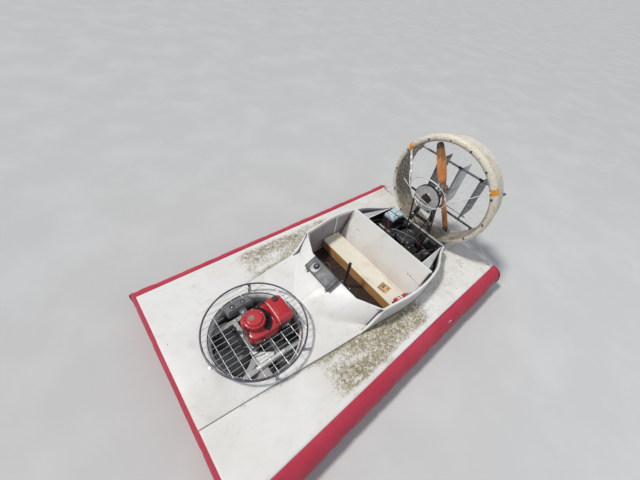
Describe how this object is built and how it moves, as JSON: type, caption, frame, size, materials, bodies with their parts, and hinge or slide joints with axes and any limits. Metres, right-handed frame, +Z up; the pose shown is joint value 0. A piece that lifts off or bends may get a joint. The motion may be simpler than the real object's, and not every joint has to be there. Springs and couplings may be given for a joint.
{
  "type": "light open hovercraft with a bow lift fan and a ducted thrust propeller",
  "caption": "Open-cockpit hovercraft with a guarded lift fan in the foredeck, an engine behind the seat and a propeller in a round duct with rudders over the stern.",
  "frame": {"origin": "middle of the craft's footprint, on the ground it parks on", "axes": "+Z up, -Y towards the bow, +X towards the port side"},
  "size_m": [2.172, 3.68, 1.608],
  "materials": {
    "hull": "worn off-white gelcoat",
    "deck_white": "weathered white gelcoat, dirty",
    "skirt_red": "coated red skirt fabric, satin",
    "wood": "rough weathered timber",
    "floor_brown": "dark brown painted floor",
    "plywood": "varnished plywood",
    "seat_cream": "cream paint, worn",
    "painted_steel": "pale grey paint, chipped",
    "dark_steel": "black paint, worn, rust at edges",
    "engine_black": "oily black castings",
    "engine_red": "glossy red enamel",
    "muffler_grey": "heat-stained grey",
    "fan_grey": "moulded grey plastic",
    "console_grey": "moulded dark grey plastic",
    "battery_black": "moulded black plastic",
    "prop_orange": "orange-stained laminated wood, glossy",
    "pulley_silver": "turned aluminium",
    "belt_rubber": "black rubber",
    "duct_cream": "weathered cream glass-fibre, stained inside",
    "rudder_aluminium": "dull sheet aluminium"
  },
  "bodies": {
    "craft": {"hull_bottom": "hull", "skid_port": "wood", "skid_centre": "wood", "skid_starboard": "wood", "foredeck": "deck_white", "side_deck_port": "deck_white", "side_deck_starboard": "deck_white", "stern_deck": "deck_white", "cockpit_floor": "floor_brown", "cowl": "deck_white", "coaming_port": "deck_white", "coaming_starboard": "deck_white", "skirt_port": "skirt_red", "skirt_starboard": "skirt_red", "skirt_bow": "skirt_red", "skirt_stern": "skirt_red", "lift_duct": "deck_white", "lift_engine_mount": "painted_steel", "lift_engine": "engine_black", "lift_engine_shroud": "engine_red", "lift_air_cleaner": "muffler_grey", "fan_guard": "dark_steel", "guard_bracket_bow": "rudder_aluminium", "guard_bracket_port": "rudder_aluminium", "guard_bracket_port_aft": "rudder_aluminium", "guard_bracket_starboard": "rudder_aluminium", "console": "console_grey", "console_knob": "engine_black", "seat_base": "plywood", "seat_top": "seat_cream", "seat_back": "deck_white", "extinguisher": "engine_red", "engine_rails": "dark_steel", "thrust_engine": "engine_black", "engine_cover": "engine_black", "battery": "battery_black", "bay_wall": "deck_white", "bay_gusset_port": "painted_steel", "bay_gusset_starboard": "painted_steel", "prop_tower": "dark_steel", "drive_belt": "belt_rubber", "thrust_duct": "duct_cream", "duct_cradle": "dark_steel", "duct_brace_port": "pulley_silver", "duct_brace_starboard": "pulley_silver", "rudder_bar_top": "dark_steel", "rudder_bar_low": "dark_steel", "guard_hoop": "pulley_silver"},
    "lift_fan_rotor": {"lift_fan": "fan_grey"},
    "propeller_rotor": {"propeller": "prop_orange", "drive_pulley": "pulley_silver"},
    "engine_rotor": {"engine_pulley": "dark_steel"},
    "rudder_centre_blade": {"rudder_centre": "rudder_aluminium"},
    "rudder_port_blade": {"rudder_port": "rudder_aluminium"},
    "rudder_starboard_blade": {"rudder_starboard": "rudder_aluminium"},
    "rudder_tie_rod": {"tie_rod": "dark_steel"},
    "steering_lever": {"steering_stick": "dark_steel"}
  },
  "joints": [
    {"name": "lift_fan_spin", "type": "hinge", "parent": "craft", "child": "lift_fan_rotor", "pos_m": [0, -1.095, 0.174], "axis": [0, 0, 1], "continuous": true},
    {"name": "propeller_spin", "type": "hinge", "parent": "craft", "child": "propeller_rotor", "pos_m": [0, 1.372, 0.972], "axis": [0, 1, 0], "continuous": true},
    {"name": "engine_pulley_spin", "type": "hinge", "parent": "craft", "child": "engine_rotor", "pos_m": [0, 1.068, 0.4], "axis": [0, 1, 0], "continuous": true},
    {"name": "rudder_centre_turn", "type": "hinge", "parent": "craft", "child": "rudder_centre_blade", "pos_m": [0, 1.565, 0.9], "axis": [0, 0, 1], "range_deg": [-30, 30]},
    {"name": "rudder_port_turn", "type": "hinge", "parent": "craft", "child": "rudder_port_blade", "pos_m": [0.265, 1.565, 0.9], "axis": [0, 0, 1], "range_deg": [-30, 30]},
    {"name": "rudder_starboard_turn", "type": "hinge", "parent": "craft", "child": "rudder_starboard_blade", "pos_m": [-0.265, 1.565, 0.9], "axis": [0, 0, 1], "range_deg": [-30, 30]},
    {"name": "tie_rod_pivot", "type": "hinge", "parent": "rudder_centre_blade", "child": "rudder_tie_rod", "pos_m": [0, 1.66, 0.624], "axis": [0, 0, 1], "range_deg": [-30, 30]},
    {"name": "steering_lever_tilt", "type": "hinge", "parent": "craft", "child": "steering_lever", "pos_m": [0, 0.01, 0.172], "axis": [0, 1, 0], "range_deg": [-25, 25]}
  ],
  "couplings": [
    {"joint": "engine_pulley_spin", "follows": "propeller_spin", "ratio": 2.4167},
    {"joint": "rudder_port_turn", "follows": "rudder_centre_turn", "ratio": 1},
    {"joint": "rudder_starboard_turn", "follows": "rudder_centre_turn", "ratio": 1},
    {"joint": "tie_rod_pivot", "follows": "rudder_centre_turn", "ratio": -1},
    {"joint": "steering_lever_tilt", "follows": "rudder_centre_turn", "ratio": -0.83333}
  ]
}
